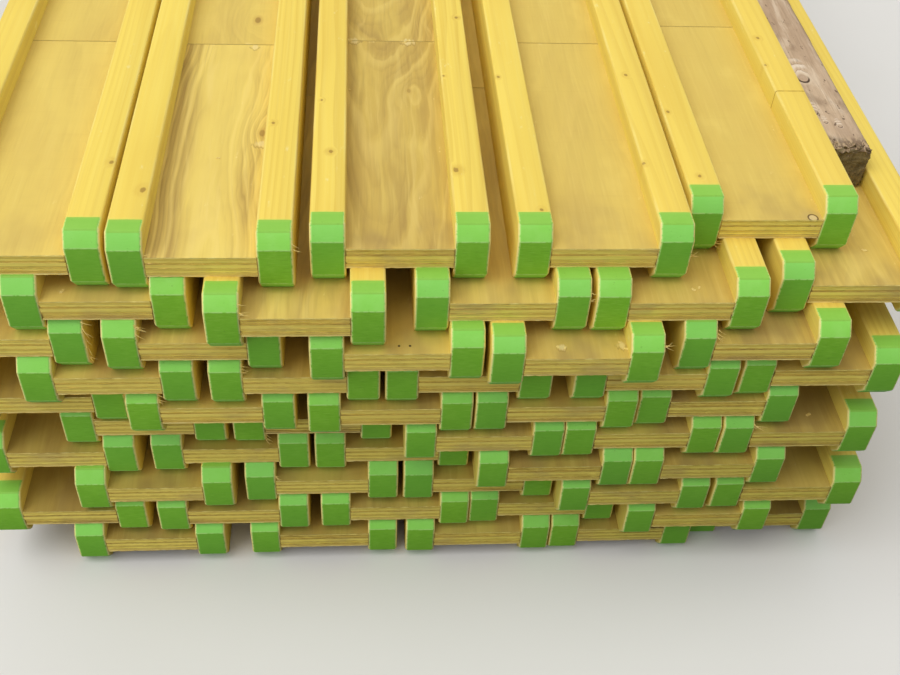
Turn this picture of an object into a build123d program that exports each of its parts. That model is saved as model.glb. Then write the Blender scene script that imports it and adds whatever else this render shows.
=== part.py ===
from build123d import *
import os

# Timber formwork beams laid on their sides and nested into one another, ten layers of five.
# X runs across the stack, Y along the beams away from the viewer, Z up, all in millimetres.

# One beam, lying on its side
beam_height = 200.0      # over both flanges, across X
flange_thick = 40.0      # across X
flange_width = 80.0      # up Z
web_thick = 27.0         # up Z
beam_length = 2450.0
arris = 3.0              # small chamfer along the flange's long edges

# The end of a flange is bevelled on its top and bottom edges
bevel_back = 13.0        # along the beam
bevel_down = 16.5        # down from the flange's narrow side

# The web is let into both flanges by a wedge-shaped tongue
tongue_deep = 15.0
tongue_root = 23.0       # thickness where the tongue enters the flange
tongue_tip = 13.0

# The web is glued up from boards; a fine groove marks each joint
first_joint = 448.0      # from the near end
board_length = 995.0
joint_wide = 1.2
joint_deep = 0.8

# Nesting: the flanges of one layer stand on the webs of the layer below
layer_rise = (flange_width + web_thick) / 2.0

# Middle of each beam across the stack and its near end along it, layer by layer from the floor
layers = [
    [(-332, -36), (-98, -35), (114, -37), (316, -35), (522, -15)],
    [(-432, -28), (-217, -32), (-1, -31), (200, -28), (411, -52)],
    [(-313, -34), (-98, -26), (109, -27), (315, -53), (522, -51)],
    [(-432, -17), (-213, -15), (-6, -16), (202, -53), (403, -53)],
    [(-316, -12), (-107, -13), (108, -46), (309, -45), (511, -46)],
    [(-429, -21), (-225, -41), (-10, -47), (193, -46), (396, -40)],
    [(-339, -41), (-123, -43), (83, -44), (309, -44), (515, -39)],
    [(-456, -31), (-236, -39), (-4, -59), (202, -69), (428, -47)],
    [(-337, -27), (-117, -56), (115, -33), (321, -34), (542, -5)],
    [(-423, -12), (-218, -16), (-1, -2), (229, -2), (435, 50)],
]

# The weathered square timber lying on a web of the ninth layer
timber_wide = 62.0
timber_high = 60.0
timber_long = 1800.0
timber_left = 537.5
timber_near = 185.0
timber_edge = 7.0
timber_layer = 9

half_web = beam_height / 2.0 - flange_thick
flange_centre = (beam_height - flange_thick) / 2.0

# The origin is on the floor under the middle of the whole stack
across = [x for beams in layers for x, y in beams]
along = [y for beams in layers for x, y in beams]
middle_x = (min(across) + max(across)) / 2.0
middle_y = (min(along) + max(along) + beam_length) / 2.0


def tongue(inner, y, z, side):
    """The wedge-shaped tongue of the web, which is also the shape of its groove."""
    middle = z + flange_width / 2.0
    with BuildPart() as wedge:
        with BuildSketch(Plane.XZ.offset(-(y + beam_length))):
            with BuildLine():
                Polyline([
                    (inner, middle - tongue_root / 2.0),
                    (inner + side * tongue_deep, middle - tongue_tip / 2.0),
                    (inner + side * tongue_deep, middle + tongue_tip / 2.0),
                    (inner, middle + tongue_root / 2.0),
                ], close=True)
            make_face()
        extrude(amount=beam_length)
    return wedge.part


def flange(x, y, z, side):
    """One flange standing on its narrow side, with a groove towards the web."""
    top = z + flange_width
    far = y + beam_length
    half = flange_thick / 2.0
    with BuildPart() as bar:
        with BuildSketch(Plane.XZ.offset(-far)):
            with BuildLine():
                Polyline([
                    (x - half + arris, z), (x + half - arris, z),
                    (x + half, z + arris), (x + half, top - arris),
                    (x + half - arris, top), (x - half + arris, top),
                    (x - half, top - arris), (x - half, z + arris),
                ], close=True)
            make_face()
        extrude(amount=beam_length)
        for end, back in ((y, bevel_back), (far, -bevel_back)):
            for corner, down in ((z, bevel_down), (top, -bevel_down)):
                with BuildSketch(Plane.YZ.offset(x - half)):
                    with BuildLine():
                        Polyline([
                            (end, corner), (end + back, corner), (end, corner + down),
                        ], close=True)
                    make_face()
                extrude(amount=flange_thick, mode=Mode.SUBTRACT)
        add(tongue(x - side * half, y, z, side), mode=Mode.SUBTRACT)
    return bar.part


def web(x, y, z):
    """The web lying flat between its two flanges, with a tongue along each side."""
    middle = z + flange_width / 2.0
    with BuildPart() as board:
        with Locations((x, y + beam_length / 2.0, middle)):
            Box(2 * half_web, beam_length, web_thick)
        for side in (-1, 1):
            add(tongue(x + side * half_web, y, z, side))
        joint = y + first_joint
        while joint < y + beam_length - 1.0:
            for face in (-1, 1):
                with Locations((x, joint, middle + face * (web_thick - joint_deep) / 2.0)):
                    Box(2 * half_web, joint_wide, joint_deep, mode=Mode.SUBTRACT)
            joint += board_length
    return board.part


os.makedirs("parts", exist_ok=True)

for number, beams in enumerate(layers, start=1):
    base = (number - 1) * layer_rise

    with BuildPart() as flanges:
        for x, y in beams:
            for side in (-1, 1):
                add(flange(x - middle_x + side * flange_centre, y - middle_y, base, side))
    flanges.part.label = "layer_%02d_flanges" % number
    export_step(flanges.part, "parts/layer_%02d_flanges.step" % number)

    with BuildPart() as webs:
        for x, y in beams:
            add(web(x - middle_x, y - middle_y, base))
    webs.part.label = "layer_%02d_webs" % number
    export_step(webs.part, "parts/layer_%02d_webs.step" % number)

timber_base = (timber_layer - 1) * layer_rise + (flange_width + web_thick) / 2.0
with BuildPart() as timber:
    with Locations((timber_left + timber_wide / 2.0 - middle_x,
                    timber_near + timber_long / 2.0 - middle_y,
                    timber_base + timber_high / 2.0)):
        Box(timber_wide, timber_long, timber_high)
    chamfer(timber.edges().filter_by(Axis.Y), timber_edge)
timber.part.label = "weathered_square_timber"
export_step(timber.part, "parts/weathered_square_timber.step")
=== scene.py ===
"""The looks of a stack of timber formwork beams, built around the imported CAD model.

Everything is in metres. Beams lie along Y with their near ends towards the camera. Each beam is
made lying down at the middle of the X axis, with its near end at y = 0 and its flanges standing
on z = 0, and is then moved to its place in the stack.
"""

import math
import random

import bpy
from mathutils import Matrix, Vector


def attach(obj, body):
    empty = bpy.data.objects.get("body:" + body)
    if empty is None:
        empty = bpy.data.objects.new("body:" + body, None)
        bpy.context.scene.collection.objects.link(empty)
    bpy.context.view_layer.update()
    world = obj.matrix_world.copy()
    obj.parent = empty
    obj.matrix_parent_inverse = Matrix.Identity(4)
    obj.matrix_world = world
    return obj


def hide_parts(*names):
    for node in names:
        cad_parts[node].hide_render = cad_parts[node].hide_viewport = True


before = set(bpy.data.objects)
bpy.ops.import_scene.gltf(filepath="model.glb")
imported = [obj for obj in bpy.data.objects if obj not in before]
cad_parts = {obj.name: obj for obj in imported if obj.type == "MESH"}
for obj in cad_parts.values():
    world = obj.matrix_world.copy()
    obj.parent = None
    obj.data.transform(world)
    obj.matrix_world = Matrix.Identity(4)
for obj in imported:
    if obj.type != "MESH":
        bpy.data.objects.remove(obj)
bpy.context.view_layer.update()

# The beam, with the same sizes as in the part's source.
flange_thick = 0.040
flange_width = 0.080
web_thick = 0.027
beam_length = 2.450
flange_offset = 0.080
arris = 0.0030
bevel_back = 0.013
bevel_down = 0.0165
joints = (0.448, 1.443)
joint_wide = 0.0012
joint_deep = 0.0008
web_low = flange_width / 2 - web_thick / 2
web_high = flange_width / 2 + web_thick / 2
web_half = flange_offset - flange_thick / 2

# The coat on the flange ends reaches this far along the top, and stands this proud.
coat_reach = 0.0325
coat_proud = 0.0004

# Rounded edges and finger-joint grooves, how finely the pieces are divided for shaping, and how
# far their faces are roughened.
edge_round = 0.0007
finger_wide = 0.0010
finger_deep = 0.0004
flange_slices = 24
flange_slice_shift = 0.013
flange_rough = 0.00025
web_columns = 26
web_overlap = 0.0004
web_end_rough = 0.00045
ply_steps = (0.0, 0.0003, 0.0006, 0.0010)

# The veneers of a web, from its upper face down.
plies = (0.0016, 0.0026, 0.0030, 0.0026, 0.0054, 0.0028, 0.0034, 0.0032, 0.0024)

# The stack. Each beam has the x of its middle and the y of its near end, in millimetres.
layer_rise = 0.0535
middle_x = 0.0430
middle_y = 1.2155
layers = (
    ((-332, -36), (-98, -35), (114, -37), (316, -35), (522, -15)),
    ((-432, -28), (-217, -32), (-1, -31), (200, -28), (411, -52)),
    ((-313, -34), (-98, -26), (109, -27), (315, -53), (522, -51)),
    ((-432, -17), (-213, -15), (-6, -16), (202, -53), (403, -53)),
    ((-316, -12), (-107, -13), (108, -46), (309, -45), (511, -46)),
    ((-429, -21), (-225, -41), (-10, -47), (193, -46), (396, -40)),
    ((-339, -41), (-123, -43), (83, -44), (309, -44), (515, -39)),
    ((-456, -31), (-236, -39), (-4, -59), (202, -69), (428, -47)),
    ((-337, -27), (-117, -56), (115, -33), (321, -34), (542, -5)),
    ((-423, -12), (-218, -16), (-1, -2), (229, -2), (435, 50)),
)

# Beams and layers are counted from nought: the top layer, its flange with a finger joint in view
# on the beam's right side, the web with a plug and the web with two nail holes, and where on the
# web these are and how far apart the nail holes.
top_layer = len(layers) - 1
jointed_flange = (9, 4, 1)
plugged_web = (9, 4)
plug_place = (0.049, 0.0045)
pinned_web = (7, 2)
pin_place = (0.0020, 0.0135)
pin_apart = 0.0126

# The knots on each flange of the top layer, from the left: how far across the flange, how far
# from its near end, and how large, in millimetres.
top_knots = (
    ((3, 760, 4), (-6, 1320, 3), (0, 2110, 4)),
    ((15, 134, 3.6), (-4, 905, 4), (6, 1720, 5)),
    ((12, 86, 4.4), (-9, 690, 3), (2, 1490, 4)),
    ((-11, 220, 2.6), (7, 1010, 4), (-3, 1985, 4)),
    ((2, 147, 3.2), (-11, 257, 2.0), (5, 1240, 5)),
    ((-13, 112, 4.4), (-16, 316, 2.2), (10, 468, 2.8)),
    ((-15, 315, 2.4), (9, 37, 2.6), (4, 1120, 4)),
    ((-6, 323, 2.8), (-18, 127, 2.6), (8, 1560, 5)),
    ((-13, 185, 2.6), (-2, 50, 2.8), (3, 870, 4)),
    ((-9, 371, 3.0), (-17, 300, 2.2), (7, 1405, 4)),
)

# How lively the grain of those flanges is, and how warm their glaze, each from 0 to 1.
top_grain = (0.4, 0.25, 0.15, 0.45, 0.75, 0.70, 0.25, 0.45, 0.30, 0.35)
top_warmth = (0.30, 0.15, 0.10, 0.30, 0.25, 0.25, 0.20, 0.50, 0.45, 0.55)

# The boards of the top webs, from the left, two to a web: how light, how strongly figured, where
# the heart of the figure lies across the web in millimetres, how closely its rings fold round
# it, how steeply they run along the board, and a knot: where it is, and how strong.
top_boards = (
    ((0.74, 0.14, -30, 0.20, 3, -24, 215, 0.0), (0.66, 0.12, 20, 0.20, -3, 30, 640, 0.0)),
    ((0.84, 1.00, 4, 0.62, 0.6, 53, 237, 0.7), (0.62, 0.22, 0, 0.20, 4, 31, 515, 0.8)),
    ((0.26, 0.70, 6, 0.30, -5, 20, 322, 0.48), (0.26, 0.80, -4, 0.34, -9, -70, 560, 0.0)),
    ((0.52, 0.12, 50, 0.20, 4, -60, 120, 0.0), (0.48, 0.10, -20, 0.15, -4, 60, 700, 0.0)),
    ((0.50, 0.07, -20, 0.10, 3, 13, 322, 0.12), (0.46, 0.10, 30, 0.15, 5, -52, 460, 0.3)),
)

# Where webs are torn bare: layer and beam, counted from nought, and two places, each with how far
# across and along it is and how large, in millimetres.
whole = ((0, 0, 0), (0, 0, 0))
torn_bare = {
    (9, 1): ((30, 442, 6), (53, 214, 7)),
    (9, 2): ((23, 446, 8), (-52, 449, 8)),
    (7, 3): ((-17, 19, 6), (54, 22, 7)),
}

# Loose fibres: layer and beam, counted from nought, then how far across, along and up the beam
# they stand, in millimetres, which way they lean, how many there are, and how long.
frayed = (
    (9, 1, -59, 1, 52, (1.0, -0.6, 0.5), 4, 1.0),
    (9, 1, 100, 1, 71, (1.0, -0.4, -0.6), 3, 0.9),
    (9, 1, -60, 2, 22, (0.5, -0.8, -0.4), 3, 0.6),
    (9, 2, -60, 2, 26, (0.6, -0.8, -0.2), 3, 0.5),
    (9, 2, 62, 1, 27, (-0.5, -0.8, -0.4), 3, 0.5),
    (9, 3, -60, 3, 30, (0.8, -0.5, -0.2), 2, 0.6),
    (9, 3, 100, 4, 44, (1.0, -0.3, 0.0), 3, 0.9),
    (9, 4, -60, 2, 14, (0.8, -0.8, -0.4), 4, 0.8),
    (8, 1, -60, 1, 66, (0.9, -0.6, -0.2), 4, 1.0),
    (8, 2, 100, 1, 62, (0.9, -0.5, 0.2), 3, 0.7),
    (7, 0, 100, 2, 70, (0.7, -0.6, -0.8), 3, 1.3),
    (7, 0, 100, 4, 44, (0.3, -0.5, -0.9), 3, 1.4),
    (7, 0, 100, 3, 22, (0.6, -0.6, -0.4), 2, 1.0),
    (7, 1, -60, 1, 72, (1.0, -0.6, -0.5), 4, 1.3),
    (7, 3, 100, 1, 66, (1.0, -0.5, 0.2), 3, 0.9),
    (7, 4, -60, 1, 66, (0.9, -0.5, -0.3), 5, 0.8),
    (7, 4, -60, 1, 56, (0.9, -0.6, -0.5), 4, 0.7),
    (6, 1, -60, 1, 66, (0.9, -0.5, -0.4), 4, 1.0),
    (5, 1, -60, 2, 70, (0.7, -0.8, -0.2), 4, 1.0),
    (4, 4, -60, 1, 62, (1.0, -0.5, -0.5), 4, 1.5),
    (4, 0, -60, 1, 50, (0.8, -0.7, 0.3), 3, 1.0),
    (4, 1, -60, 2, 16, (0.6, -0.9, -0.6), 5, 1.0),
    (3, 2, 100, 2, 50, (0.8, -0.6, -0.3), 3, 0.9),
    (2, 1, -60, 2, 60, (0.9, -0.6, -0.3), 3, 0.9),
)

# Chips lying on the webs: layer and beam, then how far across and along the beam.
chipped = (
    (9, 1, 4, 184), (9, 2, -57, 449), (9, 2, 19, 446), (9, 2, 24, 449), (9, 2, -57, 323),
    (9, 1, -74, 441), (9, 1, 70, 392), (9, 3, 62, 142), (9, 3, 74, 176), (8, 4, 22, 64),
    (8, 3, 17, 23), (8, 3, 24, 26), (8, 1, -34, 50), (8, 0, -38, 17), (7, 3, -21, 19),
    (7, 3, -13, 18), (7, 3, 52, 27), (7, 3, 58, 16), (4, 4, 20, 30), (3, 4, 60, 36),
)

# The weathered timber beside the top layer, and its knots: how far across its top from the
# middle, how far from its near end, and how large.
timber_wide = 0.062
timber_high = 0.060
timber_long = 1.800
timber_left = 0.5375 - middle_x
timber_near = 0.185 - middle_y
timber_rest = 0.4815
timber_edge = 0.009
timber_end_edge = 0.0045
timber_slices = 16
timber_torn = 0.055
timber_lengths = 70
timber_knots = (
    (-0.013, 0.166, 0.0085), (-0.021, 0.083, 0.0042), (-0.013, 0.060, 0.0026),
    (0.003, 0.051, 0.0028), (0.012, 0.560, 0.0080), (-0.008, 0.900, 0.0060),
    (0.010, 1.320, 0.0090),
)

# The camera of the photograph, and the light: the sky's brightness low down and how much brighter
# it is overhead, the sun, and a bright panel low on the left.
camera_place = (-0.0856, -2.1814, 1.3418)
camera_turn = (6.102, 44.222, 3.859)
camera_lens = 45.392
film_wide = 36
sky_low = 0.25
sky_more = 0.51
sky_seen = 0.86
sun_strength = 1.34
sun_spread = 50
panel_strength = 21
panel_wide = 1.6

chance = random.Random(7)


def colour(red, green, blue):
    """A colour as it reads in a photograph, 0 to 255, turned into light."""
    parts = []
    for part in (red, green, blue):
        part = part / 255
        parts.append(part / 12.92 if part <= 0.04045 else ((part + 0.055) / 1.055) ** 2.4)
    return (*parts, 1.0)


# Painted shade for the lower layers: what each tint lets through of the colours under it.
painted_shade_warm = colour(136, 158, 76)
painted_shade_dim = colour(112, 108, 72)


# Mixing finishes


class Tone:
    """A value in a finish, which adds, multiplies and compares as a number does."""

    def __init__(self, finish, socket):
        self.finish = finish
        self.socket = socket

    def sum(self, step, *others):
        values = {i: other for i, other in enumerate((self, *others))}
        return self.finish.put("ShaderNodeMath", {"operation": step}, values)

    def __add__(self, other):
        return self.sum("ADD", other)

    def __sub__(self, other):
        return self.sum("SUBTRACT", other)

    def __mul__(self, other):
        return self.sum("MULTIPLY", other)

    def __truediv__(self, other):
        return self.sum("DIVIDE", other)

    def __rsub__(self, other):
        return self.finish.put("ShaderNodeMath", {"operation": "SUBTRACT"}, {0: other, 1: self})

    def __rtruediv__(self, other):
        return self.finish.put("ShaderNodeMath", {"operation": "DIVIDE"}, {0: other, 1: self})

    def __pow__(self, other):
        return self.sum("POWER", other)

    def __abs__(self):
        return self.sum("ABSOLUTE")

    __radd__ = __add__
    __rmul__ = __mul__

    def least(self, other):
        return self.sum("MINIMUM", other)

    def most(self, other):
        return self.sum("MAXIMUM", other)

    def part(self):
        return self.sum("FRACT")

    def rise(self, low, high):
        """0 below low and 1 above high, or the other way round, with a soft step between."""
        settings = {"interpolation_type": "SMOOTHSTEP"}
        if low < high:
            return self.finish.put("ShaderNodeMapRange", settings, {0: self, 1: low, 2: high})
        values = {0: self, 1: high, 2: low, 3: 1.0, 4: 0.0}
        return self.finish.put("ShaderNodeMapRange", settings, values)


class Finish:
    """A material being mixed."""

    def __init__(self, name, sky=None):
        self.material = sky or bpy.data.materials.new(name)
        self.material.use_nodes = True
        self.tree = self.material.node_tree
        self.tree.nodes.clear()

    def put(self, kind, settings=None, values=None, out=0):
        """Adds one node, with its settings first and then its inputs, and gives an output."""
        node = self.tree.nodes.new(kind)
        for key, value in (settings or {}).items():
            if key == "stops":
                ramp = node.color_ramp
                while len(ramp.elements) < len(value):
                    ramp.elements.new(1.0)
                for element, (at, shade) in zip(ramp.elements, value):
                    element.position = at
                    element.color = shade
            else:
                setattr(node, key, value)
        for key, value in (values or {}).items():
            if isinstance(value, Tone):
                self.tree.links.new(value.socket, node.inputs[key])
            else:
                node.inputs[key].default_value = value
        return Tone(self, node.outputs[out]) if node.outputs else None

    def held(self, name):
        """A value that the piece itself carries at each of its points."""
        return self.put("ShaderNodeAttribute", {"attribute_name": name}, out="Vector")

    def split(self, vector):
        x = self.put("ShaderNodeSeparateXYZ", None, {0: vector})
        node = x.socket.node
        return x, Tone(self, node.outputs[1]), Tone(self, node.outputs[2])

    def end_grain(self, full):
        """1 where the surface, before any bump, faces along the beam, and 0 on its sides."""
        facing = self.split(self.put("ShaderNodeNewGeometry", None, None, "True Normal"))
        return abs(facing[1]).rise(0.45, full)

    def noise(self, x, y, z, detail=2.0, rough=0.5):
        """A cloudy pattern, finer along each way the faster that value grows."""
        place = self.put("ShaderNodeCombineXYZ", None, {0: x, 1: y, 2: z})
        values = {"Vector": place, "Scale": 1.0, "Detail": detail, "Roughness": rough}
        return self.put("ShaderNodeTexNoise", None, values, "Fac")

    def blend(self, factor, first, second, how="MIX"):
        settings = {"data_type": "RGBA", "blend_type": how}
        return self.put("ShaderNodeMix", settings, {0: factor, 6: first, 7: second}, 2)

    def lowness(self):
        """From 0 in the top layer to 1 by the ground, and from 0 to 1 from left to right."""
        place = self.split(self.put("ShaderNodeTexCoord", None, None, "Object"))
        return place[2].rise(0.50, 0.15), place[0].rise(-0.50, 0.55)

    def over(self, shade, *layers):
        """Lays colours over a shade, one after another, each as strongly as its amount."""
        for amount, tone in layers:
            shade = self.blend(amount, shade, colour(*tone))
        return shade

    def bump(self, height, distance, strength=1.0):
        values = {"Height": height, "Distance": distance, "Strength": strength}
        return self.put("ShaderNodeBump", None, values)

    def surface(self, values, fixed=None):
        """The finished surface: what varies over it, and what is the same all over."""
        shader = self.put("ShaderNodeBsdfPrincipled", None, {**(fixed or {}), **values})
        self.put("ShaderNodeOutputMaterial", None, {"Surface": shader})
        return self.material


def apart(across, along):
    """How far two values together lead from nought."""
    return (across * across + along * along) ** 0.5


def glazed_softwood():
    """Softwood flanges under a yellow glaze, with the green coat over their ends."""
    f = Finish("glazed_softwood")
    x, y, z = f.split(f.held("place"))
    seed, grain, warmth = f.split(f.held("tint"))
    end = y.least(beam_length - y)
    up = abs(z - flange_width / 2)

    # Each flange has three knots, on its narrow sides, and the rings bend round them.
    blur = f.noise(x * 260, y * 190, z * 260 + seed * 40) * 0.9 - 0.45
    knot = None
    halo = None
    for number in (1, 2, 3):
        across, along, size = f.split(f.held(f"knot_{number}"))
        away_x = (x - across) / size
        away_y = (y - along) / (size * 1.25)
        away_z = (flange_width / 2 - up) / 0.010
        away = (away_x * away_x + away_y * away_y + away_z * away_z) ** 0.5 + blur
        core = away.rise(1.0, 0.55)
        ring = away.rise(3.2, 0.9)
        knot = core if knot is None else knot.most(core)
        halo = ring if halo is None else halo.most(ring)

    # The growth rings lie round a heart somewhere under each flange, and wander along it.
    drift = f.noise(x * 4 + seed * 40, y * 0.9, z * 4 + seed * 30)
    heart_x = x - (seed - 0.5) * 0.17
    heart_z = z + 0.03 + grain * 0.08
    radius = apart(heart_x, heart_z) + drift * 0.022 + halo * 0.0024
    year = (radius / 0.0036).part()
    late = year.rise(0.35, 0.93) * year.rise(1.0, 0.94)
    fibre = f.noise(x * 420 + seed * 90, y * 6, z * 420, 2.0, 0.6)
    cloud = f.noise(x * 20, y * 3.0 + seed * 50, z * 20)
    streak = f.noise(x * 150 + seed * 80, y * 1.4, z * 150)

    # The grain shows most on the broad sides.
    broad = abs(x).rise(0.0180, 0.0198)
    plain = colour(252, 224, 100)
    ringed = late * (0.05 + grain * 0.46 + broad * 0.26)
    streaked = streak.rise(0.46, 0.68) * (0.10 + grain * 0.32 + broad * 0.18)
    wood = f.blend(ringed, plain, colour(216, 178, 66))
    wood = f.over(
        wood,
        (streaked, (226, 188, 72)),
        (fibre.rise(0.40, 0.75) * 0.28, (253, 233, 126)),
        (cloud.rise(0.42, 0.72) * 0.36, (234, 198, 80)),
        (warmth * 0.55, (236, 196, 84)),
    )
    band = f.noise(x * 6, y * 0.7 + seed * 60, z * 52 + seed * 20, 3.0, 0.6)
    wood = f.over(
        wood,
        (band.rise(0.46, 0.60) * broad * 0.55, (206, 164, 70)),
        (band.rise(0.46, 0.34) * broad * 0.45, (254, 236, 134)),
        (up.rise(0.0378, 0.0362) * 0.6, (242, 222, 108)),
        (halo * 0.34, (222, 182, 76)),
        (knot * 0.66, (146, 104, 42)),
    )

    # A painted highlight along the planed-off long edges, broken up where the glaze is worn.
    arris_highlight = up.rise(0.0366, 0.0378) * abs(x).rise(0.0166, 0.0178)
    worn = f.noise(x * 60, y * 9 + seed * 20, z * 60).rise(0.34, 0.66)
    wood = f.blend(arris_highlight * worn * 0.40, wood, colour(254, 238, 150))

    # Pale scuffs where the glaze is rubbed through.
    rub = f.noise(x * 70 + seed * 70, y * 28, z * 70 + seed * 30, 4.0, 0.7)
    wood = f.blend(rub.rise(0.64, 0.72) * 0.45, wood, colour(254, 240, 168))

    # A fine line where each flange is finger-jointed.
    first, second = f.split(f.held("splice"))[:2]
    splice = abs(y - first).least(abs(y - second))
    wander = f.noise(x * 75 + seed * 30, 0.0, seed * 30)
    line = splice.rise(0.0011, 0.0004) * wander.rise(0.30, 0.5)
    wood = f.blend(line * 0.7, wood, colour(164, 124, 44))
    beside = splice.rise(0.006, 0.001) * wander.rise(0.55, 0.62)
    wood = f.blend(beside * 0.6, wood, colour(255, 236, 150))

    # The coat covers the end, both bevels and a strip beyond them, and runs ragged on the sides.
    slope = math.hypot(bevel_back, bevel_down)
    knee = flange_width / 2 - bevel_down
    cut = (end * bevel_down - (up - knee) * bevel_back) / slope
    depth = end.least(cut)
    rag = f.noise(x * 260 + seed * 60, y * 420 + seed * 60, z * 260)
    side = depth.rise(0.0010, 0.0006)
    ragged = (depth - rag * 0.0034 + 0.0014).rise(0.0004, 0.0)
    within = (abs(x) + (rag - 0.5) * 0.0016).rise(0.0186, 0.0180)
    reach = end - coat_reach + (wander - 0.5) * 0.0026
    strip = reach.rise(0.0006, -0.0002) * up.rise(0.0378, 0.0384)
    fringe = reach.rise(0.0045, 0.0) * up.rise(0.0372, 0.0382)
    coat = (strip.most(side) * within).most(ragged * abs(x).rise(0.0192, 0.0197))
    wood = f.blend(fringe * 0.35, wood, colour(222, 224, 100))
    chafed = abs(x).rise(0.0176, 0.0188) * depth.rise(0.0035, 0.0010)
    wood = f.blend(chafed * (0.25 + rag * 0.5), wood, colour(250, 242, 176))

    # The bevels are painted paler, as a painted sheen, and the sawn end below them darker, as
    # painted shade.
    # No two ends have quite the same green.
    cool = (seed * 7.3).part() * 0.6
    haze = f.noise(x * 45 + seed * 20, y * 45, z * 45 + seed * 20, 2.0, 0.6)
    sawn = f.noise(x * 70 + seed * 40, y * 200, z * 800, 2.0, 0.6)
    upright = up.rise(knee + 0.0006, knee - 0.0006)
    flat = up.rise(0.0384, 0.0392)
    face = f.blend(haze.rise(0.35, 0.75) * 0.5, colour(130, 196, 46), colour(144, 208, 60))
    face = f.over(
        face,
        (sawn.rise(0.50, 0.72) * 0.36, (166, 220, 88)),
        (sawn.rise(0.45, 0.28) * 0.34, (92, 148, 34)),
        (cool, (110, 186, 64)),
    )
    bevel = f.blend(haze.rise(0.35, 0.75) * 0.5, colour(147, 223, 86), colour(161, 231, 108))
    bevel = f.blend(cool, bevel, colour(136, 218, 100))
    green = f.blend(flat, bevel, f.blend(haze, colour(139, 201, 70), colour(149, 209, 82)))
    green = f.blend(upright, green, face)
    speck = f.noise(x * 300, y * 300 + seed * 90, z * 300).rise(0.68, 0.76)
    green = f.blend(speck * 0.3, green, colour(104, 154, 54))
    # A painted highlight along the coat's side edges, where the paint wraps round them.
    rim_highlight = abs(x).rise(0.0166, 0.0176) * rag.rise(0.30, 0.50)
    green = f.blend(rim_highlight * 0.62, green, colour(212, 240, 150))
    # A painted highlight along the edges between the bevels and the end.
    knee_highlight = abs(up - knee).rise(0.0011, 0.0004)
    green = f.blend(knee_highlight * rag.rise(0.30, 0.55) * 0.55, green, colour(194, 236, 144))
    thin = end.rise(coat_reach - 0.006, coat_reach - 0.001) * up.rise(0.0372, 0.0382)
    green = f.blend(thin * 0.35, green, colour(168, 214, 84))

    # Painted shade: the lower layers darker, most of all towards the right.
    low, right = f.lowness()
    green = f.blend(low * right * 0.24, green, painted_shade_dim, "MULTIPLY")
    wood = f.blend(low * right * 0.24, wood, painted_shade_warm, "MULTIPLY")

    shade = f.blend(coat, wood, green)
    gloss = 0.62 - coat * 0.14 + fibre * 0.08
    return f.surface({
        "Base Color": shade,
        "Roughness": gloss,
        "Normal": f.bump(fibre + sawn, 0.0003, 0.6),
    }, {"Specular IOR Level": 0.35})


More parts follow.
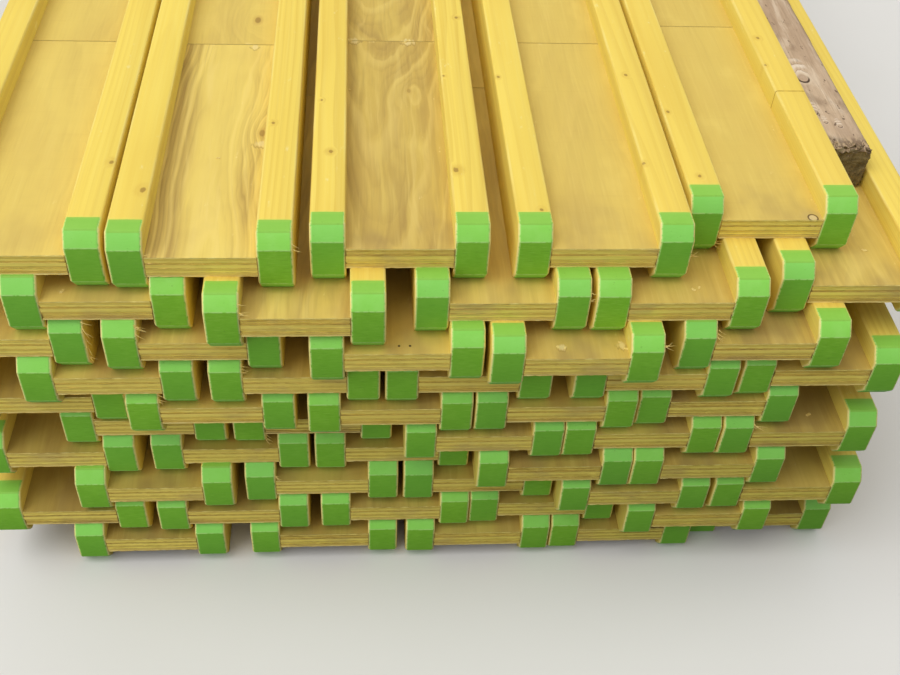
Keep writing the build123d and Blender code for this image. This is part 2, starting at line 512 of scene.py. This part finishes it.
def glazed_board():
    """Plywood webs under the same glaze: figured faces, layered ends and fine glued joints."""
    f = Finish("glazed_board")
    x, y, z = f.split(f.held("place"))
    light, seed, figure = f.split(f.held("tint"))
    heart, fold, lean = f.split(f.held("cast"))
    eye_x, eye_y, knot = f.split(f.held("eye"))
    end = y.least(beam_length - y)
    cut_end = f.end_grain(0.75)

    # A peeled veneer shows its rings as long flames and arches, which bend round a knot.
    sway = f.noise(seed * 70, y * 3.2 + seed * 31, seed * 9) - 0.5
    waver = f.noise(x * 22 + seed * 50, y * 3.4 + seed * 13, 0.0, 3.0) - 0.5
    away_x = (x - eye_x) / 0.013
    away_y = (y - eye_y) / 0.026
    away = away_x * away_x + away_y * away_y
    bend = knot / (1.0 + away * 0.30)
    off = (x - heart + sway * 0.055 + waver * 0.016) / 0.03
    rings = off * off * fold + off * 0.35 + y * lean + waver * 1.1 + bend * 3.0
    year = rings.part()
    late = year.rise(0.20, 0.86) * year.rise(1.0, 0.88)
    fine = (rings * 3.0 + waver * 2.0).part()
    hair = fine.rise(0.35, 0.85) * fine.rise(1.0, 0.88)
    pale = year.rise(0.34, 0.10) * year.rise(0.0, 0.08)
    flare = f.noise(x * 18 + seed * 20, y * 2.4, seed * 5)
    spread = 1.0 - fold.rise(0.40, 0.60) * abs(off).rise(1.7, 0.5)
    flame = (late * 0.62 + hair * 0.34) * (0.12 + flare.rise(0.38, 0.60) * 0.88)
    flame = flame * (0.25 + spread * 0.75)
    strand = f.noise(x * 95 + waver * 5 + seed * 60, y * 4.5, seed * 7, 3.0, 0.6)
    comb = strand.rise(0.46, 0.66) * spread
    fibre = f.noise(x * 300, y * 9 + seed * 40, z * 300, 3.0, 0.6)
    blotch = f.noise(x * 14 + seed * 20, y * 8, z * 14, 3.0, 0.55)
    chatter = f.noise(x * 9 + seed * 30, y * 190, 0.0)

    face = f.blend(light, colour(204, 172, 82), colour(246, 219, 112))
    face = f.over(
        face,
        (blotch.rise(0.45, 0.75) * 0.36, (220, 187, 96)),
        (blotch.rise(0.46, 0.30) * 0.22, (252, 228, 124)),
        (flare.rise(0.40, 0.62) * spread * figure * 0.42, (192, 158, 86)),
        (flame * figure * 0.70, (160, 126, 64)),
        (comb * figure * 0.42, (166, 132, 68)),
        (strand.rise(0.46, 0.30) * figure * 0.36, (244, 218, 128)),
        (pale * figure * 0.30, (248, 222, 130)),
        (chatter.rise(0.55, 0.78) * (1.0 - figure) * 0.10, (200, 164, 74)),
        (fibre.rise(0.48, 0.80) * 0.16, (252, 232, 140)),
        (fibre.rise(0.44, 0.24) * 0.14, (190, 152, 66)),
    )

    # The knot itself, small and brown, and in one web a plug with a dark line round it.
    core = away * 4.0 / (knot * knot + 0.001)
    face = f.over(
        face,
        (core.rise(3.0, 0.6) * knot * 0.50, (200, 158, 72)),
        (core.rise(0.9, 0.3) * knot * 0.75, (138, 100, 42)),
    )
    plug_x, plug_y, plugged = f.split(f.held("plug"))
    plug_x = (x - plug_x) / 0.0056
    plug_y = (y - plug_y) / 0.0062
    plug = apart(plug_x, plug_y)
    face = f.over(
        face,
        (plug.rise(3.6, 1.0) * plugged * 0.40, (182, 158, 112)),
        (plug.rise(1.05, 0.85) * plugged * 0.8, (228, 206, 150)),
        (abs(plug - 1.0).rise(0.24, 0.10) * plugged * 0.9, (84, 60, 26)),
    )

    # Dust and soil have settled by the near ends, more on the duller boards.
    grime = blotch.rise(0.46, 0.66) * end.rise(0.14, 0.01) * (1.0 - light)
    face = f.blend(grime * 0.60, face, colour(154, 126, 78))

    # Two places where the face is torn down to bare wood.
    for name in ("bare_1", "bare_2"):
        bare_x, bare_y, bare = f.split(f.held(name))
        bare_x = (x - bare_x) / (bare + 0.0001)
        bare_y = (y - bare_y) / (bare + 0.0001)
        torn = apart(bare_x, bare_y) + (fibre - 0.5) * 2.2 + waver * 1.5
        face = f.blend(torn.rise(1.15, 0.55) * 0.60, face, colour(242, 222, 158))
        frayed_edge = abs(torn - 1.2).rise(0.25, 0.05) * bare_y.rise(0.4, -0.4)
        face = f.blend(frayed_edge * 0.45, face, colour(150, 118, 64))

    # Two nail holes beside the near end of one web.
    pin_x, pin_y, pinned = f.split(f.held("pins"))
    pins = apart(x - pin_x, y - pin_y).least(apart(x - pin_x - pin_apart, y - pin_y))
    face = f.blend(pins.rise(0.0019, 0.0010) * pinned, face, colour(48, 34, 14))

    # Scuffs, and the joint: a fine dark line, with pale chips beside it here and there.
    scuff = f.noise(x * 120 + seed * 10, y * 34, 0.0, 3.0, 0.6).rise(0.70, 0.76)
    face = f.blend(scuff * 0.45, face, colour(252, 234, 160))
    gap = abs(y - joints[0]).least(abs(y - joints[1]))
    chip = f.noise(x * 55 + seed * 30, seed * 9, 0.0, 3.0, 0.6)
    face = f.blend(gap.rise(0.007, 0.001) * chip.rise(0.58, 0.68) * 0.6, face, colour(250, 226, 140))
    line = gap.rise(0.0013, 0.0006) * (0.55 + chip.rise(0.35, 0.6) * 0.4)
    face = f.blend(line, face, colour(112, 80, 26))

    # The ends: each veneer its own tone, with a dark glue line between, broken here and there.
    wobble = f.noise(x * 22 + seed * 60, end * 20, z * 60, 3.0, 0.6)
    level = (z - web_low) / web_thick + (wobble - 0.5) * 0.020
    tones = ((254, 237, 120), (234, 208, 94), (254, 234, 114), (232, 204, 92), (252, 230, 110),
             (230, 202, 90), (254, 234, 112), (228, 200, 98), (248, 224, 140))
    stops = [(0.0, colour(*tones[-1]))]
    top = web_thick
    for tone, under, ply in zip(tones, tones[1:], plies):
        top -= ply
        stops += [
            ((top + 0.00038) / web_thick, colour(*tone)),
            (top / web_thick, colour(150, 120, 50)),
            ((top - 0.00030) / web_thick, colour(*under)),
        ]
    stops.append((1.0, colour(*tones[0])))
    stops.sort(key=lambda stop: stop[0])
    ply = f.put("ShaderNodeValToRGB", {"stops": stops}, {"Fac": level})
    ply = f.blend((seed * 5.3).part() * 0.50, ply, colour(236, 210, 100))
    hairs = f.noise(x * 9 + seed * 80, seed * 30, z * 900, 3.0, 0.65)
    ply = f.over(
        ply,
        (hairs.rise(0.52, 0.68) * 0.32, (168, 136, 58)),
        (hairs.rise(0.44, 0.28) * 0.45, (255, 240, 150)),
    )
    stain = f.noise(x * 13 + seed * 90, seed * 17, z * 26)
    ply = f.blend(stain.rise(0.54, 0.72) * 0.45, ply, colour(184, 156, 106))
    # A painted highlight along the top edge of each web end, and a paler line of torn fibres along
    # its foot.
    edge_highlight_and_fray = (z - web_high).rise(-0.0014, -0.0004).most((z - web_low).rise(0.0011, 0.0004) * 0.5)
    ply = f.blend(edge_highlight_and_fray * 0.80, ply, colour(255, 242, 160))

    # Painted shade: the lower layers darker, and their ply ends most of all towards the right.
    low, right = f.lowness()
    face = f.blend(low * 0.36, face, painted_shade_dim, "MULTIPLY")
    ply = f.blend(low * right * 0.36, ply, painted_shade_warm, "MULTIPLY")

    shade = f.blend(cut_end, face, ply)
    return f.surface({
        "Base Color": shade,
        "Roughness": 0.56 + fibre * 0.12 + cut_end * 0.15,
        "Normal": f.bump(fibre * 0.6 + hairs * cut_end, 0.0004, 0.6),
    }, {"Specular IOR Level": 0.35})


def weathered_wood():
    """A timber left outdoors: greyed and furred, with knots, a split top and an earthy end."""
    f = Finish("weathered_wood")
    x, y, z = f.split(f.held("place"))
    cut_end = f.end_grain(0.8)
    on_top = z.rise(0.004, 0.018)
    drift = f.noise(x * 14, y * 2.4, z * 14, 3.0, 0.55)
    stain = f.noise(x * 34, y * 15, z * 34, 4.0, 0.6)
    swirl = f.noise(x * 60 + drift * 3, y * 13 + drift * 2, z * 60, 3.0, 0.6)
    fibre = f.noise(x * 330, y * 12, z * 330, 4.0, 0.65)

    wood = f.blend(drift.rise(0.38, 0.64), colour(216, 190, 158), colour(194, 166, 136))
    wood = f.over(
        wood,
        (swirl.rise(0.48, 0.66) * 0.55, (234, 214, 186)),
        (swirl.rise(0.46, 0.30) * 0.40, (160, 132, 108)),
        (fibre.rise(0.46, 0.72) * 0.42, (158, 130, 102)),
        (stain.rise(0.54, 0.72) * 0.50, (132, 106, 82)),
    )
    pits = f.noise(x * 150, y * 80, z * 150).rise(0.66, 0.72)
    wood = f.blend(pits * 0.75, wood, colour(84, 62, 44))
    edge = abs(x).rise(0.019, 0.031).most(z.rise(0.016, 0.0) * 0.8)
    wood = f.blend(edge * 0.40, wood, colour(146, 112, 78))
    for knot_x, knot_y, size in timber_knots:
        away_x = (x - knot_x) / size
        away_y = (y - knot_y) / (size * 1.35)
        away = apart(away_x, away_y) + (swirl - 0.5) * 0.35
        above = ((y - knot_y - size * 3.0) / (size * 4.0))
        glow = (away_x * away_x * 0.3 + above * above).rise(1.0, 0.1) * on_top
        arcs = (away * 0.75 + swirl * 1.4).part()
        wood = f.over(
            wood,
            (glow * arcs.rise(0.30, 0.75) * 0.75, (244, 228, 206)),
            (glow * arcs.rise(0.22, 0.05) * 0.45, (144, 112, 88)),
            (away.rise(1.7, 1.15) * on_top * 0.6, (226, 204, 174)),
            (away.rise(1.05, 0.5) * on_top * 0.6, (176, 144, 116)),
        )
        ring = abs(away - 0.95).rise(0.26, 0.08) * away_y.rise(0.6, -0.5)
        wood = f.blend(ring * on_top * 0.95, wood, colour(62, 40, 24))

    # The near end is torn and holds soil.
    dirt = f.noise(x * 90, y * 90, z * 90, 4.0, 0.65)
    shreds = f.noise(x * 240, y * 60, z * 240, 3.0, 0.7)
    soil = f.blend(dirt.rise(0.35, 0.7), colour(136, 122, 86), colour(92, 80, 52))
    soil = f.blend(shreds.rise(0.56, 0.70) * 0.5, soil, colour(186, 168, 122))
    torn = (y + (stain - 0.5) * 0.03).rise(0.034, 0.010)
    frayed_wood = f.blend(shreds.rise(0.44, 0.62), colour(84, 62, 40), colour(196, 168, 128))
    wood = f.blend(torn * 0.75, wood, frayed_wood)
    shade = f.blend(cut_end, wood, soil)
    return f.surface({
        "Base Color": shade,
        "Roughness": 0.82 + fibre * 0.12,
        "Normal": f.bump(fibre + shreds * torn * 2.0 + dirt * cut_end, 0.0014, 0.8),
    }, {"Specular IOR Level": 0.25})


def torn_fibre():
    """Fibres and chips broken out of the wood, paler than its glazed face."""
    f = Finish("torn_fibre")
    x, y, z = f.split(f.put("ShaderNodeTexCoord", None, None, "Object"))
    hair = f.noise(x * 700, y * 700, z * 700)
    patch = f.noise(x * 60, y * 60, z * 60)
    shade = f.blend(hair.rise(0.35, 0.65), colour(224, 192, 98), colour(244, 222, 142))
    shade = f.blend(patch.rise(0.5, 0.7) * 0.5, shade, colour(206, 172, 84))
    return f.surface({"Base Color": shade, "Roughness": 0.7 + hair * 0.15})


def pale_floor():
    """A plain pale floor that sends only a little light back up at the stack."""
    f = Finish("pale_floor")
    seen = f.put("ShaderNodeLightPath", None, None, "Is Camera Ray")
    x, y, z = f.split(f.put("ShaderNodeTexCoord", None, None, "Object"))
    mottle = f.noise(x * 3, y * 3, z, 3.0)
    pale = f.blend(mottle, colour(226, 224, 219), colour(231, 229, 225))
    shade = f.blend(seen, colour(104, 105, 106), pale)
    return f.surface({"Base Color": shade, "Roughness": 0.9 + mottle * 0.05})


# Working a piece


def alone(piece):
    """Nothing but this piece is selected."""
    bpy.ops.object.select_all(action="DESELECT")
    piece.select_set(True)
    bpy.context.view_layer.objects.active = piece


def squared(name, low, high):
    """A squared piece between two corners, ready to be worked on."""
    bpy.ops.object.select_all(action="DESELECT")
    size = [b - a for a, b in zip(low, high)]
    middle = [(a + b) / 2 for a, b in zip(low, high)]
    bpy.ops.mesh.primitive_cube_add(size=1, location=middle, scale=size)
    piece = bpy.context.active_object
    piece.name = name
    bpy.ops.object.transform_apply(location=True, rotation=True, scale=True)
    return piece


def pick(piece, kind, test):
    """Opens the piece with only those faces, edges or points selected that pass the test."""
    alone(piece)
    bpy.ops.object.mode_set(mode="EDIT")
    bpy.ops.mesh.select_mode(type=kind)
    bpy.ops.mesh.select_all(action="DESELECT")
    bpy.ops.object.mode_set(mode="OBJECT")
    mesh = piece.data
    if kind == "FACE":
        for face in mesh.polygons:
            face.select = test(face.center, face.normal)
    elif kind == "EDGE":
        for edge in mesh.edges:
            first, last = (mesh.vertices[i].co for i in edge.vertices)
            edge.select = test((first + last) / 2, (last - first).normalized())
    else:
        for point in mesh.vertices:
            point.select = test(point.co, point.normal)
    bpy.ops.object.mode_set(mode="EDIT")


def close():
    bpy.ops.object.mode_set(mode="OBJECT")


def saw(piece, at, across, off=False):
    """A cut through the piece. With off, what lies beyond the cut falls away."""
    alone(piece)
    bpy.ops.object.mode_set(mode="EDIT")
    bpy.ops.mesh.select_all(action="SELECT")
    bpy.ops.mesh.bisect(
        plane_co=at, plane_no=across, use_fill=off, clear_outer=off, threshold=1e-6
    )
    close()


def push(piece, test, shift):
    """Pushes the picked faces in or out, with new walls round them."""
    pick(piece, "FACE", test)
    bpy.ops.mesh.extrude_region_move(TRANSFORM_OT_translate={"value": shift})
    close()


def shift_points(piece, test, shift):
    """Moves the picked points."""
    pick(piece, "VERT", test)
    bpy.ops.transform.translate(value=shift)
    close()


def roughen(piece, test, amount, seed):
    """Moves the picked points about by a random amount."""
    pick(piece, "VERT", test)
    bpy.ops.transform.vertex_random(offset=amount, seed=seed)
    close()


def hold(piece, name, values):
    """Gives every point of the piece a value that its finish reads."""
    held = piece.data.attributes.get(name)
    if held is None:
        held = piece.data.attributes.new(name, "FLOAT_VECTOR", "POINT")
    held.data.foreach_set("vector", [part for value in values for part in value])


def hold_one(piece, name, value):
    """Gives the whole piece one such value."""
    hold(piece, name, [value] * len(piece.data.vertices))


def hold_place(piece):
    hold(piece, "place", [point.co for point in piece.data.vertices])


def put_copy(pattern, shift, turned=False):
    """A copy of the pattern, with its own mesh, moved into place. Turned swaps its ends."""
    alone(pattern)
    bpy.ops.object.duplicate()
    copy = bpy.context.active_object
    if turned:
        centre = (0, beam_length / 2, 0)
        bpy.ops.transform.rotate(value=math.pi, orient_axis="Z", center_override=centre)
    bpy.ops.transform.translate(value=shift)
    bpy.ops.object.transform_apply(location=True, rotation=True, scale=True)
    return copy


def put_together(name, parts):
    """Joins the parts into one finished piece of that name."""
    bpy.ops.object.select_all(action="DESELECT")
    for part in parts:
        part.select_set(True)
    bpy.context.view_layer.objects.active = parts[0]
    bpy.ops.object.join()
    piece = bpy.context.active_object
    piece.name = name
    alone(piece)
    bpy.ops.object.shade_smooth_by_angle(angle=math.radians(32))
    return piece


def take_away(*pieces):
    bpy.ops.object.select_all(action="DESELECT")
    for piece in pieces:
        piece.select_set(True)
    bpy.ops.object.delete()


# The beam's pieces


def is_coated(at, normal):
    """Faces that carry the raised coat: the ends, the bevels and the strips on top."""
    end = min(at.y, beam_length - at.y)
    return end < coat_reach and abs(at.x) < 0.005 and abs(normal.x) < 0.3


def flange(name, finger_joints, seed):
    """A flange: squared, arrises planed off, ends bevelled, coated and finger-jointed."""
    half = flange_thick / 2
    bar = squared(name, (-half, 0, 0), (half, beam_length, flange_width))
    for end, out in ((0.0, -1.0), (beam_length, 1.0)):
        for level, rise in ((bevel_down, -1.0), (flange_width - bevel_down, 1.0)):
            saw(bar, (0, end, level), (0, out * bevel_down, rise * bevel_back), off=True)
    pick(bar, "EDGE", lambda at, along: abs(at.x) > half - 0.0001 and abs(along.x) < 0.5)
    bpy.ops.mesh.bevel(offset=arris, segments=3, affect="EDGES")
    close()
    pick(bar, "EDGE", lambda at, along: abs(along.x) > 0.9)
    bpy.ops.mesh.bevel(offset=edge_round, segments=2, affect="EDGES")
    close()
    for at in (coat_reach, beam_length - coat_reach):
        saw(bar, (0, at, 0), (0, 1, 0))
    for at in finger_joints:
        saw(bar, (0, at - finger_wide / 2, 0), (0, 1, 0))
        saw(bar, (0, at + finger_wide / 2, 0), (0, 1, 0))
    for step in range(1, flange_slices):
        at = step * beam_length / flange_slices + flange_slice_shift
        saw(bar, (0, at, 0), (0, 1, 0))
    for at in finger_joints:
        pick(bar, "FACE", lambda middle, normal: abs(middle.y - at) < 0.4 * finger_wide)
        bpy.ops.mesh.extrude_region_shrink_fatten(
            TRANSFORM_OT_shrink_fatten={"value": -finger_deep}
        )
        close()
    pick(bar, "FACE", is_coated)
    bpy.ops.mesh.extrude_region_shrink_fatten(
        TRANSFORM_OT_shrink_fatten={"value": coat_proud}
    )
    close()
    roughen(bar, lambda at, normal: 0.05 < at.y < beam_length - 0.05, flange_rough, seed)
    hold_place(bar)
    hold_one(bar, "splice", (finger_joints[0], finger_joints[-1], 0.0))
    return bar


def web(name, seed):
    """A web between its flanges: veneers stepping in and out at the ends, joints cut fine."""
    luck = random.Random(seed)
    half = web_half + web_overlap
    board = squared(name, (-half, 0, web_low), (half, beam_length, web_high))
    for step in range(1, web_columns):
        saw(board, (-half + step * 2 * half / web_columns, 0, 0), (1, 0, 0))
    for at in (0.004, beam_length - 0.004):
        saw(board, (0, at, 0), (0, 1, 0))
    for joint in joints:
        for away in (-0.006, -joint_wide / 2, joint_wide / 2, 0.006):
            saw(board, (0, joint + away, 0), (0, 1, 0))
    level = web_high
    levels = []
    for ply in plies[:-1]:
        level -= ply
        levels.append(level)
        saw(board, (0, 0, level), (0, 0, 1))
    for joint in joints:
        for side in (-1, 1):
            push(
                board,
                lambda at, normal: abs(at.y - joint) < joint_wide / 2 and normal.z * side > 0.9,
                (0, 0, -side * joint_deep),
            )
    tops = [web_high] + levels
    lows = levels + [web_low]
    for high, low in zip(tops, lows):
        for end, way in ((0.0, 1.0), (beam_length, -1.0)):
            step = luck.choice(ply_steps)
            if step:
                push(
                    board,
                    lambda at, normal: (
                        abs(at.y - end) < 0.0001 and abs(normal.y) > 0.9 and low < at.z < high
                    ),
                    (0, way * step, 0),
                )
    roughen(
        board,
        lambda at, normal: min(at.y, beam_length - at.y) < 0.0014 and abs(at.x) < web_half - 0.001,
        web_end_rough,
        seed,
    )
    hold_place(board)
    return board


def timber():
    """The weathered square timber: rounded by wear, uneven, its near end torn."""
    right = timber_left + timber_wide
    far = timber_near + timber_long
    high = timber_rest + timber_high
    bar = squared("weathered_timber", (timber_left, timber_near, timber_rest), (right, far, high))
    middle = Vector((timber_left + timber_wide / 2, 0, timber_rest + timber_high / 2))
    pick(bar, "EDGE", lambda at, along: abs(along.y) > 0.9)
    bpy.ops.mesh.bevel(offset=timber_edge, segments=4, affect="EDGES")
    close()
    pick(bar, "EDGE", lambda at, along: abs(along.y) < 0.5)
    bpy.ops.mesh.bevel(offset=timber_end_edge, segments=2, affect="EDGES")
    close()
    for step in range(1, timber_slices):
        saw(bar, (timber_left + step * timber_wide / timber_slices, 0, 0), (1, 0, 0))
        saw(bar, (0, 0, timber_rest + step * timber_high / timber_slices), (0, 0, 1))
    for step in range(1, timber_slices):
        saw(bar, (0, timber_near + step * 0.0035, 0), (0, 1, 0))
    length = (timber_long - timber_torn) / timber_lengths
    for step in range(1, timber_lengths):
        saw(bar, (0, timber_near + timber_torn + step * length, 0), (0, 1, 0))
    clear = timber_rest + 0.002
    roughen(bar, lambda at, normal: at.z > clear, 0.0008, 5)
    roughen(bar, lambda at, normal: at.z > clear and at.y < timber_near + 0.022, 0.0016, 6)
    roughen(bar, lambda at, normal: at.z > high - 0.012 and at.y < timber_near + 0.014, 0.0026, 9)
    hold(bar, "place", [
        (point.co.x - middle.x, point.co.y - timber_near, point.co.z - middle.z)
        for point in bar.data.vertices
    ])
    return bar


def sliver():
    """A splinter standing at the origin: a thin tapered fibre that curls to one side."""
    bpy.ops.object.select_all(action="DESELECT")
    bpy.ops.mesh.primitive_cone_add(
        vertices=5, radius1=0.0006, radius2=0.0001, depth=0.012, location=(0, 0, 0.0045)
    )
    piece = bpy.context.active_object
    piece.name = "sliver"
    bpy.ops.object.transform_apply(location=True, rotation=True, scale=True)
    for step in (0.001, 0.004, 0.007):
        saw(piece, (0, 0, step), (0, 0, 1))
    for level, shift in ((0.0035, 0.0006), (0.0065, 0.0011), (0.0095, 0.0016)):
        shift_points(piece, lambda at, normal: at.z > level, (shift, 0, 0))
    return piece


def flake():
    """A flat chip lying at the origin, with uneven edges and one end lifted."""
    chip = squared("flake", (-0.0016, -0.0030, -0.0002), (0.0016, 0.0030, 0.0004))
    for at in (-0.0018, -0.0006, 0.0006, 0.0018):
        saw(chip, (0, at, 0), (0, 1, 0))
    saw(chip, (0, 0, 0), (1, 0, 0))
    shift_points(chip, lambda at, normal: abs(at.y) > 0.0025, (0, 0, 0.0005))
    pick(chip, "VERT", lambda at, normal: at.y > 0.0025)
    bpy.ops.transform.resize(value=(0.35, 1, 1), center_override=(0, 0.003, 0))
    close()
    roughen(chip, lambda at, normal: True, 0.0003, 3)
    return chip


# The scene


def beam_place(layer, beam):
    """Where a beam's own origin stands in the stack."""
    middle, near = layers[layer][beam]
    return Vector((middle / 1000 - middle_x, near / 1000 - middle_y, layer_rise * layer))


def flange_marks(top, number):
    """The tint and the knots of one flange."""
    if top:
        knots = [(x / 1000, y / 1000, size / 1000) for x, y, size in top_knots[number]]
        return (chance.random(), top_grain[number], top_warmth[number]), knots
    knots = []
    for third in range(3):
        across = chance.uniform(-0.016, 0.016)
        along = chance.uniform(0.05, 0.75) + third * 0.8
        knots.append((across, along, chance.uniform(0.002, 0.005)))
    return (chance.random(), chance.uniform(0.2, 0.7), chance.uniform(0.1, 0.7)), knots


def board_marks(top, beam):
    """For the three boards of a web: tint, cast of the figure, and eye."""
    marks = []
    for number in range(3):
        if top and number < 2:
            light, figure, heart, fold, lean, across, along, knot = top_boards[beam][number]
            tint = (light, chance.random(), figure)
            cast = (heart / 1000, fold, lean)
            eye = (across / 1000, along / 1000, knot)
        else:
            tint = (chance.uniform(0.10, 0.62), chance.random(), chance.uniform(0.10, 0.60))
            cast = (chance.uniform(-0.06, 0.06), chance.uniform(0.1, 0.3), chance.uniform(-6, 6))
            eye = (chance.uniform(-0.07, 0.07), chance.uniform(0.1, 2.3), chance.uniform(0, 0.5))
        marks.append((tint, cast, eye))
    return marks


def lay_flange(patterns, number, beam, side):
    """One flange in its place, made from one of the patterns, with its own tint and knots."""
    top = number == top_layer
    pattern = chance.choice(patterns[:2])
    if (number, beam, side) == jointed_flange:
        pattern = patterns[2]
    shift = beam_place(number, beam) + Vector((side * flange_offset, 0, 0))
    bar = put_copy(pattern, shift, not top and chance.random() < 0.5)
    tint, knots = flange_marks(top, beam * 2 + (side > 0))
    hold_one(bar, "tint", tint)
    for which, knot in enumerate(knots):
        hold_one(bar, f"knot_{which + 1}", knot)
    return bar


def lay_web(patterns, number, beam):
    """One web in its place: three boards end to end, each with its own figure."""
    place = beam_place(number, beam)
    sheet = put_copy(chance.choice(patterns), place)
    marks = board_marks(number == top_layer, beam)
    numbers = [
        sum(point.co.y - place.y > joint for joint in joints) for point in sheet.data.vertices
    ]
    for which, name in enumerate(("tint", "cast", "eye")):
        hold(sheet, name, [marks[i][which] for i in numbers])
    hold_one(sheet, "plug", (*plug_place, float((number, beam) == plugged_web)))
    hold_one(sheet, "pins", (*pin_place, float((number, beam) == pinned_web)))
    for which, bare in enumerate(torn_bare.get((number, beam), whole)):
        hold_one(sheet, f"bare_{which + 1}", [part / 1000 for part in bare])
    return sheet


def lay_stack():
    """Lays the beams layer by layer, one piece for the flanges of a layer and one for its webs."""
    bars = [
        flange("flange_a", (1.322,), 11),
        flange("flange_b", (0.905, 2.010), 12),
        flange("flange_c", (0.236, 1.630), 13),
    ]
    boards = [web(f"web_{number}", 20 + number) for number in range(3)]
    for patterns, finish in ((bars, glazed_softwood()), (boards, glazed_board())):
        for pattern in patterns:
            pattern.data.materials.append(finish)
    for number, row in enumerate(layers):
        flanges = []
        webs = []
        for beam in range(len(row)):
            flanges += [lay_flange(bars, number, beam, side) for side in (-1, 1)]
            webs.append(lay_web(boards, number, beam))
        for kind, parts, slot in (("flanges", flanges, "flange_wood"), ("webs", webs, "web_board")):
            piece = put_together(f"{kind}_of_layer_{number + 1:02d}", parts)
            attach(piece, "root")
            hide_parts(f"layer_{number + 1:02d}_{kind}")
    take_away(*bars, *boards)


def put_bit(pattern, scale, turn, place):
    """A copy of a splinter or a chip, sized, turned and put in its place."""
    alone(pattern)
    bpy.ops.object.duplicate()
    bit = bpy.context.active_object
    bit.scale = scale
    bit.rotation_euler = turn
    bit.location = place
    bpy.ops.object.transform_apply(location=True, rotation=True, scale=True)
    return bit


def fray_ends():
    """Splinters at the sawn ends and chips on the webs."""
    splinter = sliver()
    chip = flake()
    parts = []
    for layer, beam, across, along, up, lean, count, length in frayed:
        root = beam_place(layer, beam) + Vector((across, along, up)) / 1000
        for _ in range(count):
            way = Vector(lean) + Vector([chance.uniform(-0.5, 0.5) for _ in range(3)])
            stretch = length * chance.uniform(0.6, 1.1)
            beside = Vector((0, chance.uniform(0, 0.002), chance.uniform(-0.008, 0.008)))
            turn = way.to_track_quat("Z", "Y").to_euler()
            parts.append(put_bit(splinter, (1, 1, stretch), turn, root + beside))
    for layer, beam, across, along in chipped:
        place = beam_place(layer, beam) + Vector((across / 1000, along / 1000, web_high))
        size = chance.uniform(0.6, 1.2)
        turn = (0, 0, chance.uniform(0, math.pi))
        parts.append(put_bit(chip, (size, size, 1), turn, place))
    take_away(splinter, chip)
    piece = put_together("loose_fibres", parts)
    piece.data.materials.clear()
    piece.data.materials.append(torn_fibre())
    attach(piece, "root")


def lay_timber():
    bar = timber()
    bar.data.materials.append(weathered_wood())
    alone(bar)
    bpy.ops.object.shade_smooth_by_angle(angle=math.radians(40))
    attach(bar, "root")
    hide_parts("weathered_square_timber")


def lay_floor():
    bpy.ops.object.select_all(action="DESELECT")
    bpy.ops.mesh.primitive_plane_add(size=30, location=(0, 0, -0.0005))
    floor = bpy.context.active_object
    floor.name = "floor"
    floor.data.materials.append(pale_floor())


def put_lamp(kind, place, way, strength):
    """A lamp that shines a given way."""
    bpy.ops.object.select_all(action="DESELECT")
    bpy.ops.object.light_add(type=kind, location=place)
    lamp = bpy.context.active_object
    lamp.data.energy = strength
    lamp.rotation_euler = Vector(way).to_track_quat("-Z", "Y").to_euler()
    return lamp.data


def light_up():
    """An overcast sky, brightest overhead and low on the left, and a soft sun high on the left."""
    world = bpy.data.worlds.new("sky")
    bpy.context.scene.world = world
    f = Finish("sky", world)
    height = f.split(f.put("ShaderNodeTexCoord", None, None, "Generated"))[2]
    glow = sky_low + height.rise(-0.1, 1.0) * sky_more
    seen = f.put("ShaderNodeLightPath", None, None, "Is Camera Ray")
    strength = glow * (1.0 - seen) + seen * sky_seen
    white = (1.0, 1.0, 1.0, 1.0)
    light = f.put("ShaderNodeBackground", None, {"Color": white, "Strength": strength})
    f.put("ShaderNodeOutputWorld", None, {"Surface": light})
    sun = put_lamp("SUN", (-2, -2, 4), (0.42, 0.13, -0.80), sun_strength)
    sun.angle = math.radians(sun_spread)
    panel = put_lamp("AREA", (-2.4, -3.2, 0.5), (2.4, 2.0, -0.25), panel_strength)
    panel.size = panel_wide


def set_camera():
    """The camera stands where the photograph was taken from."""
    yaw, pitch, roll = (math.radians(angle) for angle in camera_turn)
    ahead = Vector((
        math.sin(yaw) * math.cos(pitch), math.cos(yaw) * math.cos(pitch), -math.sin(pitch)
    ))
    level = Vector((math.cos(yaw), -math.sin(yaw), 0))
    above = level.cross(ahead)
    right = level * math.cos(roll) + above * math.sin(roll)
    up = above * math.cos(roll) - level * math.sin(roll)
    turn = Matrix((right, up, -ahead)).transposed()
    bpy.ops.object.select_all(action="DESELECT")
    bpy.ops.object.camera_add(location=camera_place)
    camera = bpy.context.active_object
    camera.rotation_euler = turn.to_euler()
    camera.data.sensor_width = film_wide
    camera.data.lens = camera_lens
    bpy.context.scene.camera = camera


lay_stack()
fray_ends()
lay_timber()
lay_floor()
light_up()
set_camera()
bpy.context.scene.view_settings.view_transform = "Standard"
